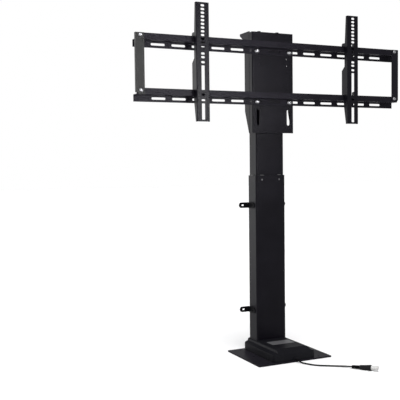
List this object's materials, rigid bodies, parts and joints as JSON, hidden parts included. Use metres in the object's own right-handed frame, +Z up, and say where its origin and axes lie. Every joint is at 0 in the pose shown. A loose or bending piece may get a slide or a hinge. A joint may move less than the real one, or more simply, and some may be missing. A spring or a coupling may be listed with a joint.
{
  "type": "motorised column screen lift",
  "caption": "Base plate with a geared motor and telescopic column that raises a head with slotted rails and two hook-on arms for a flat screen.",
  "frame": {"origin": "on the floor under the middle of the base plate's fixing hole pattern", "axes": "+Z up along the column, +X to the right along the rails, the screen side faces -Y"},
  "size_m": [1.1636, 0.5019, 1.3368],
  "materials": {
    "powder_black": "satin powder coat",
    "strap_grey": "satin powder coat",
    "cover_black": "fine moulded texture",
    "label_grey": "fine brushed, blank",
    "zinc": "bright zinc plate",
    "machined_steel": "machined",
    "case_aluminium": "as cast",
    "bronze": "machined",
    "dull_zinc": "dulled zinc plate",
    "oxide_black": "black oxide",
    "glide_grey": "dark grey nylon",
    "housing_white": "natural nylon",
    "cord_black": "smooth jacket",
    "plug_black": "moulded"
  },
  "bodies": {
    "base": {"base_plate": "powder_black", "motor_cover": "cover_black", "rating_plate": "label_grey", "cover_screws": "zinc", "outer_column": "powder_black", "foot_angle_left": "powder_black", "foot_angle_right": "powder_black", "foot_bolts": "zinc", "foot_screws": "zinc", "gear_case": "case_aluminium", "gear_case_lid": "case_aluminium", "case_screws": "zinc", "lower_bearing": "machined_steel", "upper_bearing": "machined_steel", "worm_bushes": "bronze", "motor": "machined_steel", "motor_end_cap": "plug_black", "motor_saddle": "cover_black", "saddle_screws": "zinc", "lead_gland": "cover_black", "inner_lead": "cord_black", "motor_lead": "cord_black", "plug_boot": "cord_black", "plug_body": "plug_black", "plug_housing": "housing_white", "plug_contacts": "bronze", "lug_upper_left": "oxide_black", "lug_upper_right": "oxide_black", "lug_lower_left": "oxide_black", "lug_lower_right": "oxide_black", "lug_screws": "oxide_black", "face_glides": "glide_grey", "side_glides": "glide_grey", "glide_screws": "dull_zinc"},
    "screw": {"lead_screw": "machined_steel", "worm_wheel": "bronze", "screw_stop": "machined_steel"},
    "worm": {"worm_shaft": "machined_steel"},
    "lift": {"inner_column": "powder_black", "lower_glides": "glide_grey", "nut_carrier": "case_aluminium", "drive_nut": "bronze", "nut_screws": "zinc", "carrier_screws": "zinc", "column_cap": "case_aluminium", "head_bracket": "powder_black", "head_bolts": "oxide_black", "upper_rail": "powder_black", "lower_rail": "powder_black", "rail_bolts": "zinc", "rail_nuts": "zinc", "end_strap_left": "strap_grey", "end_strap_right": "powder_black", "strap_screws": "zinc", "strap_nuts": "zinc"},
    "arm_left": {"arm_left": "powder_black"},
    "arm_right": {"arm_right": "powder_black"}
  },
  "joints": [
    {"name": "lift_slide", "type": "slide", "parent": "base", "child": "lift", "axis": [0, 0, 1], "range_m": [-0.53, 0]},
    {"name": "screw_spin", "type": "hinge", "parent": "base", "child": "screw", "pos_m": [0, 0.086, 0.028], "axis": [0, 0, 1], "range_deg": [-1, 7633]},
    {"name": "worm_spin", "type": "hinge", "parent": "base", "child": "worm", "pos_m": [0.024, 0.086, 0.028], "axis": [0, 1, 0], "range_deg": [-20, 152660]},
    {"name": "arm_left_slide", "type": "slide", "parent": "lift", "child": "arm_left", "axis": [1, 0, 0], "range_m": [-0.18, 0.23]},
    {"name": "arm_right_slide", "type": "slide", "parent": "lift", "child": "arm_right", "axis": [1, 0, 0], "range_m": [-0.23, 0.18]}
  ],
  "couplings": [
    {"joint": "screw_spin", "follows": "lift_slide", "rad_per_m": -251.33},
    {"joint": "worm_spin", "follows": "lift_slide", "rad_per_m": -5026.5}
  ]
}
